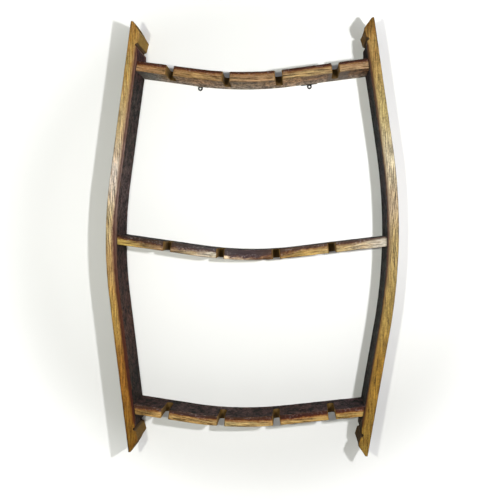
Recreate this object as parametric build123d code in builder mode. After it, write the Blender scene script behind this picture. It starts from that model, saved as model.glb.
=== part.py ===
from build123d import *
import os
from dataclasses import dataclass
from math import asin, cos, degrees, radians, sin, sqrt, tan

# A wall-hung rack that holds stemware upside down, built from five staves of an oak wine barrel: two whole
# staves stand at the sides, and three pieces of stave are butted between them as rails, with stem slots cut
# in from the front. Two hanger plates on the back of the top rail hang it on a wall.
#
# Millimetres and degrees. +Z is up, and +X is to the right of someone who faces the rack. The wall is the
# plane Y = 0, the rack's front looks along -Y, and the origin is midway between the holes of the two hangers.
# Every stave is bent like a barrel's: two straight limbs that lean away from a round bend.

# Side staves
STAVE_LENGTH = 940.0  # upright distance between the two tips
STAVE_WIDTH = 100.0  # from the wall to the front edge
STAVE_THICKNESS = 25.0
RACK_WIDTH = 634.0  # over the outer faces, where the staves stand furthest apart
STAVE_STAGGER = 5.0  # how much higher the right stave stands than the left one
LEFT_LEAN = 7.4
LEFT_BEND_RADIUS = 1000.0
RIGHT_LEAN = 9.1
RIGHT_BEND_RADIUS = 1250.0

# Stave ends: a bevelled chime, then the croze groove that held the barrel's head, then the hollowed howel
TIP_FLAT = 5.0  # end grain left square at the outer face
LEFT_BEVEL_LENGTH = 25.0
RIGHT_BEVEL_LENGTH = 20.0
CHIME_THICKNESS = 24.5
LEFT_CROZE_LIP = 45.0  # from the tip to the groove's near lip
RIGHT_CROZE_LIP = 38.5
CROZE_MOUTH = 9.0
CROZE_FLOOR = 4.0
CROZE_FLOOR_THICKNESS = 17.0  # wood left under the groove
HOWEL_THICKNESS = 22.0  # wood at both lips of the groove
HOWEL_LENGTH = 24.0  # from the groove's far lip to the full thickness

# Rails
RAIL_THICKNESS = 22.5
RAIL_LEAN = 7.5
RAIL_BEND_RADIUS = 775.0
RAIL_SETBACK = 6.0  # front faces behind the staves' front edges
TOP_RAIL_DROP = 111.0  # from the staves' mean tip height to the crown of the rail's upper face
MIDDLE_RAIL_DROP = 24.5  # below the staves' mean mid height
BOTTOM_RAIL_RISE = 80.5  # above the staves' mean lower tip height
TOP_BEND_SHIFT = -20.0  # each rail's bend lies a little to the left of the rack's middle
MIDDLE_BEND_SHIFT = -10.0
BOTTOM_BEND_SHIFT = -30.0

# Stem slots
SLOT_PITCH = 119.0
SLOT_WIDTH = 15.0
SLOT_WEB = 24.0  # wood left behind a slot
SLOT_MOUTH_RADIUS = 4.0
# How far each slot was cut from its even place, to the right, in the order from left to right
TOP_SLOT_STRAYS = (0.0, 2.5, -4.5, -2.0)
MIDDLE_SLOT_STRAYS = (-3.0, -6.0, -5.5, -4.5)
BOTTOM_SLOT_STRAYS = (-4.5, -1.5, -1.0, 0.0)

# Wood screws of the joints, two at each end of a rail
JOINT_SCREW_DIAMETER = 4.8
JOINT_SCREW_HEAD = 9.4
JOINT_SCREW_LENGTH = 60.0
JOINT_SCREW_SINK = 2.0  # heads below the staves' outer faces
JOINT_SCREW_INSET = 20.0  # from a rail's front and back faces

# Hanger plates and their screws
HANGER_SPACING = 248.0
LEFT_HANGER_DROP = 4.0  # the hole's middle below the top rail's underside
RIGHT_HANGER_DROP = 5.2
HANGER_THICKNESS = 2.0
HANGER_HOLE = 4.5
HANGER_RING = 10.5
STRIP_LENGTH = 38.0
STRIP_HEIGHT = 15.0
STRIP_CORNER = 2.5
STRIP_RISE = 4.2  # lower edge above the hole's middle
HANGER_SCREW_SPACING = 25.0
HANGER_SCREW_DIAMETER = 3.5
HANGER_SCREW_HEAD = 6.6
HANGER_SCREW_LENGTH = 16.0

# Screw details shared by both kinds
HEAD_RIM = 0.3  # cylindrical rim above a countersunk head's cone
HEAD_ANGLE = 90.0
RECESS_REACH = 0.6  # cross recess across its arms, as a share of the head
RECESS_WIDTH = 0.12  # width of an arm, as a share of the head
RECESS_DEPTH = 0.3
POINT_LENGTH = 6.0
SCREW_CLEARANCE = 0.05  # all round a screw in its hole
TIP_CLEARANCE = 0.5  # hole beyond a screw's point

RAIL_BACK = HANGER_THICKNESS
RAIL_DEPTH = STAVE_WIDTH - RAIL_SETBACK - RAIL_BACK
RAIL_FRONT = -(RAIL_BACK + RAIL_DEPTH)
FRONT_REACH = 20.0  # how far a slot's cutter starts in front of the rail
RAIL_OVERLENGTH = 1.2  # a rail is drawn longer than the rack's width, then cut to fit


@dataclass(frozen=True)
class Bend:
    """The curve of a bent stave's face: a round bend between two straight limbs."""

    lean: float
    radius: float

    def reach(self):
        """Distance from the crown to where a limb starts."""
        return self.radius * sin(radians(self.lean))

    def corner(self):
        """How far the two limbs would meet outside the crown."""
        return self.radius * (1 / cos(radians(self.lean)) - 1)

    def fall(self, distance):
        """How far the curve has left the crown's tangent at this distance along it."""
        run = min(abs(distance), self.reach())
        rest = abs(distance) - run
        return self.radius - sqrt(self.radius**2 - run**2) + rest * tan(radians(self.lean))

    def slope(self, distance):
        """Angle of the curve at this distance along the crown's tangent."""
        run = max(-self.reach(), min(distance, self.reach()))
        return degrees(asin(run / self.radius))


@dataclass(frozen=True)
class SideStave:
    """One upright stave. side is -1 on the left and 1 on the right, and end is -1 below and 1 above."""

    node: str
    side: int
    bend: Bend
    bevel_length: float
    croze_lip: float

    def middle(self):
        return MIDDLE + self.side * STAVE_STAGGER / 2

    def outer_x(self, z):
        return self.side * (RACK_WIDTH / 2 - self.bend.fall(z - self.middle()))

    def outer_corner(self):
        return (self.side * (RACK_WIDTH / 2 + self.bend.corner()), self.middle())

    def inner_corner(self):
        inset = STAVE_THICKNESS / cos(radians(self.bend.lean))
        return (self.outer_corner()[0] - self.side * inset, self.middle())

    def end_point(self, end, along, depth):
        """A point near a tip: along the limb from the tip, and that deep below the outer face."""
        lean = radians(self.bend.lean)
        limb = STAVE_LENGTH / 2 * tan(lean)
        x = self.outer_corner()[0] + self.side * (along * sin(lean) - depth * cos(lean) - limb)
        z = self.middle() + end * (STAVE_LENGTH / 2 - along * cos(lean) - depth * sin(lean))
        return (x, z)

    def howel(self, end):
        """The hollowed stretch between the croze groove's far lip and the full thickness."""
        lip = self.croze_lip + CROZE_MOUTH
        return [
            self.end_point(end, lip, HOWEL_THICKNESS),
            self.end_point(end, lip + HOWEL_LENGTH, STAVE_THICKNESS),
        ]

    def chime(self, end):
        """From the tip round the bevel and the croze groove to its far lip."""
        floor = self.croze_lip + (CROZE_MOUTH - CROZE_FLOOR) / 2
        profile = [
            (0, 0),
            (0, TIP_FLAT),
            (self.bevel_length, CHIME_THICKNESS),
            (self.croze_lip, HOWEL_THICKNESS),
            (floor, CROZE_FLOOR_THICKNESS),
            (floor + CROZE_FLOOR, CROZE_FLOOR_THICKNESS),
            (self.croze_lip + CROZE_MOUTH, HOWEL_THICKNESS),
        ]
        return [self.end_point(end, along, depth) for along, depth in profile]


@dataclass(frozen=True)
class Rail:
    """One rail, dark face up and sagging: its crown is the lowest point of its upper face."""

    node: str
    crown: float
    bend_shift: float
    slot_strays: tuple

    def below(self, depth):
        """The curve that lies this deep in the rail: its bend, and the height of its crown."""
        return Bend(RAIL_LEAN, RAIL_BEND_RADIUS + depth), self.crown - depth

    def height(self, x, depth=0.0):
        bend, crown = self.below(depth)
        return crown + bend.fall(x - self.bend_shift)

    def slope(self, x):
        return radians(Bend(RAIL_LEAN, RAIL_BEND_RADIUS).slope(x - self.bend_shift))

    def line(self, depth):
        """Three corners of the curve at this depth, from left to right."""
        bend, crown = self.below(depth)
        half = RACK_WIDTH / 2 * RAIL_OVERLENGTH
        corner = (self.bend_shift, crown - bend.corner())
        return [(-half, self.height(-half, depth)), corner, (half, self.height(half, depth))]

    def slots(self):
        """The middles of the slots: an even row about the rack's middle, each slot off by its own stray."""
        first = -(len(self.slot_strays) - 1) / 2
        return [(first + place) * SLOT_PITCH + stray for place, stray in enumerate(self.slot_strays)]

    def slot_plane(self, x):
        """Square to the upper face at this x, with local x along the rail and local y towards the wall."""
        slope = self.slope(x)
        return Plane(
            origin=(x, 0, self.height(x)),
            x_dir=(cos(slope), 0, sin(slope)),
            z_dir=(-sin(slope), 0, cos(slope)),
        )

    def joint_entry(self, stave):
        """Where the rail's middle line, carried on, comes out of a side stave."""
        x = stave.side * RACK_WIDTH / 2
        for _ in range(ENTRY_ROUNDS):
            x = stave.outer_x(self.height(x, RAIL_THICKNESS / 2))
        return x, self.height(x, RAIL_THICKNESS / 2)

    def joint_plane(self, stave, y):
        """The top of a joint screw's head, looking out along the rail."""
        x, z = self.joint_entry(stave)
        lean = radians(RAIL_LEAN)
        outward = Vector(stave.side * cos(lean), 0, sin(lean))
        return Plane(Vector(x, y, z) - outward * JOINT_SCREW_SINK, x_dir=(0, 1, 0), z_dir=outward)


@dataclass(frozen=True)
class Screw:
    """A countersunk wood screw with a cross recess."""

    diameter: float
    head: float
    length: float

    def hole(self):
        """Radius of a hole that the shank passes."""
        return self.diameter / 2 + SCREW_CLEARANCE

    def sink(self):
        """Radius of the countersink that the head lies in."""
        return self.head / 2 + SCREW_CLEARANCE

    def build(self, top):
        """The screw with the middle of its head on the plane top, pointing down from it."""
        cone = (self.head - self.diameter) / 2 / tan(radians(HEAD_ANGLE / 2))
        section = Plane(top.origin, x_dir=top.x_dir, z_dir=-top.y_dir)
        with BuildPart() as screw:
            with BuildSketch(section):
                with BuildLine():
                    Polyline(
                        (0, 0),
                        (self.head / 2, 0),
                        (self.head / 2, -HEAD_RIM),
                        (self.diameter / 2, -HEAD_RIM - cone),
                        (self.diameter / 2, POINT_LENGTH - self.length),
                        (0, -self.length),
                        close=True,
                    )
                make_face()
            revolve(axis=Axis(section.origin, section.y_dir))
            with BuildSketch(top):
                Rectangle(self.head * RECESS_REACH, self.head * RECESS_WIDTH)
                Rectangle(self.head * RECESS_WIDTH, self.head * RECESS_REACH)
            extrude(amount=-self.head * RECESS_DEPTH, mode=Mode.SUBTRACT)
        return screw.part


def write(part, node):
    """Label a finished piece and write it to its own file."""
    part.label = node
    export_step(part, f"parts/{node}.step")


def hanger_height(side, crown):
    """Height of a hanger's hole, with the crown of the top rail's upper face at this height."""
    rail = Rail("top_rail", crown, TOP_BEND_SHIFT, TOP_SLOT_STRAYS)
    x = side * HANGER_SPACING / 2
    drop = {-1: LEFT_HANGER_DROP, 1: RIGHT_HANGER_DROP}[side]
    return rail.height(x, RAIL_THICKNESS) - drop / cos(rail.slope(x))


TOP_RAIL_HEIGHT = -(hanger_height(-1, 0.0) + hanger_height(1, 0.0)) / 2
MIDDLE = TOP_RAIL_HEIGHT + TOP_RAIL_DROP - STAVE_LENGTH / 2
ENTRY_ROUNDS = 8  # enough for the joint's place to settle far below a micrometre

JOINT_SCREW = Screw(JOINT_SCREW_DIAMETER, JOINT_SCREW_HEAD, JOINT_SCREW_LENGTH)
HANGER_SCREW = Screw(HANGER_SCREW_DIAMETER, HANGER_SCREW_HEAD, HANGER_SCREW_LENGTH)
JOINT_ROWS = {
    "front": RAIL_FRONT + JOINT_SCREW_INSET,
    "back": -RAIL_BACK - JOINT_SCREW_INSET,
}

LEFT = SideStave("left_stave", -1, Bend(LEFT_LEAN, LEFT_BEND_RADIUS), LEFT_BEVEL_LENGTH, LEFT_CROZE_LIP)
RIGHT = SideStave("right_stave", 1, Bend(RIGHT_LEAN, RIGHT_BEND_RADIUS), RIGHT_BEVEL_LENGTH, RIGHT_CROZE_LIP)
STAVES = {"left": LEFT, "right": RIGHT}

TOP_RAIL = Rail("top_rail", TOP_RAIL_HEIGHT, TOP_BEND_SHIFT, TOP_SLOT_STRAYS)
MIDDLE_RAIL = Rail("middle_rail", MIDDLE - MIDDLE_RAIL_DROP, MIDDLE_BEND_SHIFT, MIDDLE_SLOT_STRAYS)
BOTTOM_RAIL = Rail("bottom_rail", MIDDLE - STAVE_LENGTH / 2 + BOTTOM_RAIL_RISE, BOTTOM_BEND_SHIFT, BOTTOM_SLOT_STRAYS)
RAILS = [TOP_RAIL, MIDDLE_RAIL, BOTTOM_RAIL]


def hanger_plane(side):
    """The wall face of a hanger plate: origin at its hole, local x along the rail's lower edge."""
    x = side * HANGER_SPACING / 2
    slope = TOP_RAIL.slope(x)
    origin = (x, 0, hanger_height(side, TOP_RAIL_HEIGHT))
    return Plane(origin, x_dir=(-cos(slope), 0, -sin(slope)), z_dir=(0, 1, 0))


def hanger_screw_plane(side, place):
    """The top of a hanger screw's head, flush with the plate. place is -1 or 1 along the strip."""
    plate = hanger_plane(side)
    along = place * HANGER_SCREW_SPACING / 2
    up = STRIP_RISE + STRIP_HEIGHT / 2
    return Plane(plate.from_local_coords((along, up, 0)), x_dir=plate.x_dir, z_dir=plate.z_dir)


os.makedirs("parts", exist_ok=True)

# The two side staves, each with the screw holes of its joints
for stave in STAVES.values():
    with BuildPart() as side_stave:
        with BuildSketch(Plane.XZ):
            with BuildLine():
                FilletPolyline(
                    stave.end_point(1, 0, 0),
                    stave.outer_corner(),
                    stave.end_point(-1, 0, 0),
                    radius=stave.bend.radius,
                )
                Polyline(*stave.chime(1), stave.howel(1)[1])
                FilletPolyline(
                    stave.howel(1)[1],
                    stave.inner_corner(),
                    stave.howel(-1)[1],
                    radius=stave.bend.radius - STAVE_THICKNESS,
                )
                Polyline(*stave.chime(-1), stave.howel(-1)[1])
            make_face()
        extrude(amount=STAVE_WIDTH)
        heads = [rail.joint_plane(stave, y) for rail in RAILS for y in JOINT_ROWS.values()]
        with Locations(*[head.offset(-HEAD_RIM) for head in heads]):
            CounterSinkHole(
                JOINT_SCREW.hole(),
                JOINT_SCREW.sink(),
                depth=JOINT_SCREW_LENGTH,
                counter_sink_angle=HEAD_ANGLE,
            )
    write(side_stave.part, stave.node)

# The three rails: a bent board, cut to the staves' inner faces, slotted from the front and drilled
for rail in RAILS:
    with BuildPart() as slotted_rail:
        with BuildSketch(Plane.XZ.offset(RAIL_BACK)):
            with BuildLine():
                upper = FilletPolyline(*rail.line(0), radius=RAIL_BEND_RADIUS)
                lower = FilletPolyline(*rail.line(RAIL_THICKNESS), radius=RAIL_BEND_RADIUS + RAIL_THICKNESS)
                Line(upper @ 0, lower @ 0)
                Line(upper @ 1, lower @ 1)
            make_face()
            with BuildLine():
                for stave in STAVES.values():
                    Line(*stave.howel(1))
                    FilletPolyline(
                        stave.howel(1)[1],
                        stave.inner_corner(),
                        stave.howel(-1)[1],
                        radius=stave.bend.radius - STAVE_THICKNESS,
                    )
                    Line(*stave.howel(-1))
                Line(LEFT.howel(1)[0], RIGHT.howel(1)[0])
                Line(LEFT.howel(-1)[0], RIGHT.howel(-1)[0])
            make_face(mode=Mode.INTERSECT)
        extrude(amount=RAIL_DEPTH)
        for x in rail.slots():
            with BuildSketch(rail.slot_plane(x)):
                with BuildLine():
                    half = SLOT_WIDTH / 2
                    mouth = half + SLOT_MOUTH_RADIUS
                    throat = RAIL_FRONT + SLOT_MOUTH_RADIUS
                    round_middle = -RAIL_BACK - SLOT_WEB - half
                    start = RAIL_FRONT - FRONT_REACH
                    Polyline((0, start), (mouth, start), (mouth, RAIL_FRONT))
                    RadiusArc((mouth, RAIL_FRONT), (half, throat), -SLOT_MOUTH_RADIUS)
                    Line((half, throat), (half, round_middle))
                    RadiusArc((half, round_middle), (0, round_middle + half), -half)
                    mirror(about=Plane.YZ)
                make_face()
            extrude(amount=RAIL_THICKNESS * 2, both=True, mode=Mode.SUBTRACT)
        heads = [rail.joint_plane(stave, y) for stave in STAVES.values() for y in JOINT_ROWS.values()]
        with Locations(*heads):
            Hole(JOINT_SCREW.hole(), depth=JOINT_SCREW_LENGTH + TIP_CLEARANCE)
        if rail is TOP_RAIL:
            heads = [hanger_screw_plane(side, place) for side in (-1, 1) for place in (-1, 1)]
            with Locations(*heads):
                Hole(HANGER_SCREW.hole(), depth=HANGER_SCREW_LENGTH + TIP_CLEARANCE)
    write(slotted_rail.part, rail.node)

# The screws of the joints
for rail in RAILS:
    for side_name, stave in STAVES.items():
        for row, y in JOINT_ROWS.items():
            screw = JOINT_SCREW.build(rail.joint_plane(stave, y))
            write(screw, f"{rail.node}_{side_name}_{row}_screw")

# The two hanger plates and their screws
for side_name, stave in STAVES.items():
    plate = hanger_plane(stave.side)
    with BuildPart() as hanger:
        with BuildSketch(plate):
            with Locations((0, STRIP_RISE + STRIP_HEIGHT / 2)):
                RectangleRounded(STRIP_LENGTH, STRIP_HEIGHT, STRIP_CORNER)
            Circle(HANGER_RING / 2)
            Rectangle(HANGER_RING, STRIP_RISE + STRIP_CORNER, align=(Align.CENTER, Align.MIN))
            Circle(HANGER_HOLE / 2, mode=Mode.SUBTRACT)
        extrude(amount=-HANGER_THICKNESS)
        for place in (-1, 1):
            with Locations(hanger_screw_plane(stave.side, place).offset(-HEAD_RIM)):
                CounterSinkHole(
                    HANGER_SCREW.hole(),
                    HANGER_SCREW.sink(),
                    depth=HANGER_THICKNESS,
                    counter_sink_angle=HEAD_ANGLE,
                )
    write(hanger.part, f"{side_name}_hanger")
    for place_name, place in {"inner": stave.side, "outer": -stave.side}.items():
        screw = HANGER_SCREW.build(hanger_screw_plane(stave.side, place))
        write(screw, f"{side_name}_hanger_{place_name}_screw")
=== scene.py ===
"""Looks of a wall-mounted wine rack made of five old oak barrel staves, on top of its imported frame."""

import logging
from abc import ABC, abstractmethod
from dataclasses import dataclass
from enum import Enum
from math import asin, atan2, cos, hypot, pi, radians, sin, sqrt, tan
from typing import Callable, ClassVar, Iterable, Optional, Sequence, Union

import bpy
from mathutils import Matrix, Vector, noise


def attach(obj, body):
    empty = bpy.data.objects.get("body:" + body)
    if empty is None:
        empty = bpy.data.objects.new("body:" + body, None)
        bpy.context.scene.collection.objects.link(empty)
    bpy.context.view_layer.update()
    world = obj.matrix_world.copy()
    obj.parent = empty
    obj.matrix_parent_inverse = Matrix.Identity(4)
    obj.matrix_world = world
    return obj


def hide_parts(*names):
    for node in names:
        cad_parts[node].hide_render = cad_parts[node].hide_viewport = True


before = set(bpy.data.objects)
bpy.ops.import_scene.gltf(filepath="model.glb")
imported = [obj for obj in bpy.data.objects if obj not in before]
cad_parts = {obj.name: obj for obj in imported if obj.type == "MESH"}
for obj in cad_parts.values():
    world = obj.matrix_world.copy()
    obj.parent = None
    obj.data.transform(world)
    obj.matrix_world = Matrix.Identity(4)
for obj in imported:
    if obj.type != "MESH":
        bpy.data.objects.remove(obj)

LOG = logging.getLogger("wine_rack")

Colour = tuple[float, float, float]
Stop = tuple[float, Colour]
Level = tuple[float, float]
Number = Union["Socket", float]

# Lengths are in metres. The rack: a touch, the widest place, and the height of its middle.
MM = 0.001
TOUCH = 0.1 * MM
RACK_WIDTH = 0.634
MIDDLE = -0.341304

# Side staves: tip to tip, front to wall, thickness, and how much higher the right one hangs.
STAVE_LENGTH = 0.940
STAVE_WIDTH = 0.100
STAVE_THICKNESS = 0.025
STAGGER = 0.005

# Rails: the thickness, the front and back edges' distances from the wall, the bend's lean in degrees
# and its radius, half of what is bent, and how far an end goes into a stave.
RAIL_THICKNESS = 0.0225
RAIL_FRONT = 0.094
RAIL_BACK = 0.002
RAIL_LEAN = 7.5
RAIL_RADIUS = 0.775
RAIL_REACH = 0.31
RAIL_BITE = 0.0008

# Stem slots: from one to the next, the width, the closed end's distance from the wall, the round of
# the mouth, and the tool that cuts them.
SLOT_PITCH = 0.119
SLOT_WIDTH = 0.015
SLOT_END = 0.026
SLOT_MOUTH = 0.004
SLOT_TOOL_TOP = 0.11
SLOT_ROUND = SLOT_WIDTH * 0.497
SLOT_ROUND_ROWS = 14
SLOT_MOUTH_ROWS = 6

# The cooper's cuts at a side stave's ends, as lengths along it and the thickness they leave.
TIP_FLAT = 0.005
CHIME_THICKNESS = 0.0245
CROZE_MOUTH = 0.009
CROZE_FLOOR = 0.004
CROZE_FLOOR_THICKNESS = 0.017
HOWEL_THICKNESS = 0.022
HOWEL_LENGTH = 0.024

# Joint screws: their distances from the wall, the head's radius and its depth in the face, and the
# countersink tool, a cylinder that ends in a cone.
SCREW_ROWS = (0.022, 0.074)
SCREW_HEAD = 0.00475
SCREW_SINK = 0.002
SINK_ROOM = 0.0003
SINK_TOOL = 0.006
SINK_CONE = 0.0024
SINK_TAPER = 0.5
SINK_SIDES = 32
FACES_DOWN = -0.9

# Wear and mesh: the hollow across a stave, slow and quick unevenness with its waves per metre and
# its share on faces and edges, softened arrises, and how fine the mesh is.
HOLLOW = 0.0012
WARP = 0.0007
WARP_BIAS = 0.2
SLOW_WAVES = Vector((9, 30, 16))
PITTING = 0.0005
QUICK_WAVES = Vector((70, 160, 120))
FACE_SHARE = 0.5
EDGE_SHARE = 0.3
ARRIS = 0.0012
RAIL_ARRIS = 0.0007
ARRIS_ROWS = 3
GRID_ALONG = 0.0045
GRID_ACROSS = 0.006
CURVE_ROWS = 64
SEEK_ROUNDS = 12
SMOOTH_ANGLE = 38
SHARP_ANGLE = 50

# Finishes: the light that bare oak's gloss adds, the darkest channel, and golden wood's tint.
GLOSS = 0.012
LEAST = 0.003
AMBER_TINT = (1.02, 0.74, 0.46)
OAK_SPECULAR = 0.12
WHITE = (1.0, 1.0, 1.0)


def bare(red: float, green: float, blue: float) -> Colour:
    """Turn the display colour of lit oak into the wood's own, without its gloss.

    Args:
        red: Display red.
        green: Display green.
        blue: Display blue.

    Returns:
        The wood's own colour as linear light.
    """
    return tuple(max(channel - GLOSS, LEAST) for channel in linear(red, green, blue))


class Tone(Enum):
    """Plain colours that several finishes share, as seen in neutral light."""

    END_GRAIN = (122, 100, 74)
    CHARCOAL = (48, 44, 41)
    MAROON = (84, 44, 36)
    WINE_BLACK = (40, 44, 42)
    WINE_CRUST = (74, 56, 54)
    RUST = (88, 62, 46)
    HOOP_GREY = (104, 98, 90)
    SLOT_WALL = (140, 108, 60)
    GOLD_FLECK = (128, 92, 50)
    BLOOM = (206, 192, 190)
    DRIFTWOOD = (158, 150, 138)
    # Painted highlight on the croze's lit lip.
    RIM = (176, 146, 116)
    NICK = (168, 146, 132)

    @property
    def colour(self) -> Colour:
        """The tone without its gloss, as linear light."""
        return bare(*self.value)


def linear(red: float, green: float, blue: float) -> Colour:
    """Turn display values from 0 to 255 into linear light.

    Args:
        red: Display red.
        green: Display green.
        blue: Display blue.

    Returns:
        The colour as linear light.
    """
    shares = (channel / 255 for channel in (red, green, blue))
    return tuple(s / 12.92 if s <= 0.04045 else ((s + 0.055) / 1.055) ** 2.4 for s in shares)


class Socket:
    """An output of a shader node, with arithmetic that adds the nodes it stands for."""

    def __init__(self, graph: "Graph", output: bpy.types.NodeSocket) -> None:
        """Wrap an output.

        Args:
            graph: The graph that the output belongs to.
            output: The node's output.
        """
        self.graph = graph
        self.output = output

    def __add__(self, other: Number) -> "Socket":
        """Add a number or a socket."""
        return self.graph.math("ADD", self, other)

    def __radd__(self, other: Number) -> "Socket":
        """Add to a number."""
        return self.graph.math("ADD", other, self)

    def __sub__(self, other: Number) -> "Socket":
        """Take away a number or a socket."""
        return self.graph.math("SUBTRACT", self, other)

    def __rsub__(self, other: Number) -> "Socket":
        """Take away from a number."""
        return self.graph.math("SUBTRACT", other, self)

    def __mul__(self, other: Number) -> "Socket":
        """Multiply by a number or a socket."""
        return self.graph.math("MULTIPLY", self, other)

    def __rmul__(self, other: Number) -> "Socket":
        """Multiply a number."""
        return self.graph.math("MULTIPLY", other, self)

    def __truediv__(self, other: Number) -> "Socket":
        """Divide by a number or a socket."""
        return self.graph.math("DIVIDE", self, other)

    def __rtruediv__(self, other: Number) -> "Socket":
        """Divide a number."""
        return self.graph.math("DIVIDE", other, self)

    def __abs__(self) -> "Socket":
        """Drop the sign."""
        return self.graph.math("ABSOLUTE", self)

    def least(self, other: Number) -> "Socket":
        """The smaller of the two."""
        return self.graph.math("MINIMUM", self, other)

    def most(self, other: Number) -> "Socket":
        """The larger of the two."""
        return self.graph.math("MAXIMUM", self, other)

    def rise(self, low: Number, high: Number) -> "Socket":
        """Go smoothly from 0 at low to 1 at high.

        Args:
            low: Where the rise starts.
            high: Where it ends.

        Returns:
            The share from 0 to 1.
        """
        settings = {"interpolation_type": "SMOOTHSTEP"}
        inputs = {"Value": self, "From Min": low, "From Max": high}
        return self.graph.node("ShaderNodeMapRange", settings, inputs)

    def within(self, low: float, high: float, soft: float) -> "Socket":
        """Be 1 between two values and 0 outside them.

        Args:
            low: The lower end.
            high: The upper end.
            soft: How wide each end's change is.

        Returns:
            The share from 0 to 1.
        """
        return self.rise(low - soft, low + soft) * (1 - self.rise(high - soft, high + soft))


# Sockets of a Mix node that mixes colours, by number, since its names aren't unique.
MIX_FACTOR, MIX_FIRST, MIX_SECOND, MIX_RESULT = 0, 6, 7, 2


class Graph:
    """A material's node tree."""

    def __init__(self, name: str) -> None:
        """Start an empty tree.

        Args:
            name: The material's name.
        """
        self.material = bpy.data.materials.new(name)
        self.material.use_nodes = True
        self.tree = self.material.node_tree
        self.tree.nodes.clear()

    def feed(self, entry: bpy.types.NodeSocket, value: object) -> None:
        """Link a socket to a node's input, or set the input's own value.

        Args:
            entry: The input.
            value: A Socket, a number, or a colour or vector as a tuple.
        """
        if isinstance(value, Socket):
            self.tree.links.new(value.output, entry)
        elif entry.type == "RGBA" and isinstance(value, tuple):
            entry.default_value = (*value[:3], 1.0)
        else:
            entry.default_value = value

    def add(self, kind: str, settings: dict, inputs: dict) -> bpy.types.Node:
        """Add a node.

        Args:
            kind: The node's type.
            settings: The node's own properties, set first.
            inputs: Values and sockets for its inputs, by name or number.

        Returns:
            The node.
        """
        made = self.tree.nodes.new(kind)
        for key, value in settings.items():
            setattr(made, key, value)
        for key, value in inputs.items():
            self.feed(made.inputs[key], value)
        return made

    def node(self, kind: str, settings: dict, inputs: dict, output: Union[int, str] = 0) -> Socket:
        """Add a node and read one of its outputs.

        Args:
            kind: The node's type.
            settings: The node's own properties, set first.
            inputs: Values and sockets for its inputs, by name or number.
            output: Which output to give back, by name or number.

        Returns:
            The chosen output.
        """
        return Socket(self, self.add(kind, settings, inputs).outputs[output])

    def math(self, operation: str, first: Number, second: Number = 0.0) -> Socket:
        """Work out one sum.

        Args:
            operation: The Math node's operation.
            first: Its first value.
            second: Its second value, where it has one.

        Returns:
            The result.
        """
        return self.node("ShaderNodeMath", {"operation": operation}, {0: first, 1: second})

    def vector(self, x: Number, y: Number, z: Number) -> Socket:
        """Put three numbers together as a vector."""
        return self.node("ShaderNodeCombineXYZ", {}, {0: x, 1: y, 2: z})

    def parts(self, vector: Socket) -> tuple[Socket, Socket, Socket]:
        """Take a vector apart into its three numbers."""
        split = self.add("ShaderNodeSeparateXYZ", {}, {0: vector})
        return tuple(Socket(self, part) for part in split.outputs)

    def attribute(self, name: str) -> tuple[Socket, Socket, Socket]:
        """Read a vector that the mesh carries, as its three numbers."""
        return self.parts(self.node("ShaderNodeAttribute", {"attribute_name": name}, {}, "Vector"))

    def spot(self) -> tuple[Socket, Socket, Socket]:
        """Read the place on the object, as its three numbers."""
        return self.parts(self.node("ShaderNodeTexCoord", {}, {}, "Object"))

    def noise(self, place: Socket, detail: float, roughness: float, warp: float = 0.0) -> Socket:
        """Cloudy noise of about unit size.

        Args:
            place: Where to read it.
            detail: How many finer layers it has.
            roughness: How strong the finer layers are.
            warp: How far the pattern is pulled about.

        Returns:
            A value around 0.5.
        """
        inputs = {"Vector": place, "Scale": 1.0, "Detail": detail, "Roughness": roughness}
        return self.node("ShaderNodeTexNoise", {}, {**inputs, "Distortion": warp}, "Fac")

    def cracks(self, place: Socket) -> Socket:
        """Distance from the nearest line of a net of cells of about unit size."""
        inputs = {"Vector": place, "Scale": 1.0, "Randomness": 0.9}
        return self.node("ShaderNodeTexVoronoi", {"feature": "DISTANCE_TO_EDGE"}, inputs, "Distance")

    def blend(self, first: object, second: object, share: Number) -> Socket:
        """Go from one colour to another.

        Args:
            first: The colour at 0.
            second: The colour at 1.
            share: How far to go.

        Returns:
            The mixed colour.
        """
        inputs = {MIX_FACTOR: share, MIX_FIRST: first, MIX_SECOND: second}
        return self.node("ShaderNodeMix", {"data_type": "RGBA"}, inputs, MIX_RESULT)

    def tint(self, colour: object, by: Colour) -> Socket:
        """Multiply a colour by another."""
        return self.node("ShaderNodeVectorMath", {"operation": "MULTIPLY"}, {0: colour, 1: by})

    def shade(self, colour: object, amount: Number) -> Socket:
        """Make a colour lighter or darker by a factor."""
        return self.node("ShaderNodeVectorMath", {"operation": "SCALE"}, {0: colour, "Scale": amount})

    def ramp(self, share: Socket, stops: Sequence[Stop]) -> Socket:
        """Read a colour off a row of stops.

        Args:
            share: Where to read, from 0 to 1.
            stops: Places and their colours in linear light.

        Returns:
            The colour.
        """
        made = self.add("ShaderNodeValToRGB", {}, {"Fac": share})
        bar = made.color_ramp
        bar.interpolation = "EASE"
        while len(bar.elements) < len(stops):
            bar.elements.new(0.5)
        for element, (place, colour) in zip(bar.elements, stops):
            element.position = place
            element.color = (*colour, 1.0)
        return Socket(self, made.outputs["Color"])

    def curve(self, share: Socket, levels: Sequence[Level]) -> Socket:
        """Read a number off a row of levels.

        Args:
            share: Where to read, from 0 to 1.
            levels: Places and their values from 0 to 1.

        Returns:
            The value.
        """
        grey = self.ramp(share, [(place, (level,) * 3) for place, level in levels])
        return self.parts(grey)[0]

    def bump(self, height: Socket, distance: float, strength: float = 1.0) -> Socket:
        """Tilt the surface by a height.

        Args:
            height: The height, from 0 to 1.
            distance: How much one unit of height is, in metres.
            strength: How much of it shows.

        Returns:
            The tilted normal.
        """
        inputs = {"Height": height, "Distance": distance, "Strength": strength}
        return self.node("ShaderNodeBump", {}, inputs)

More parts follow.
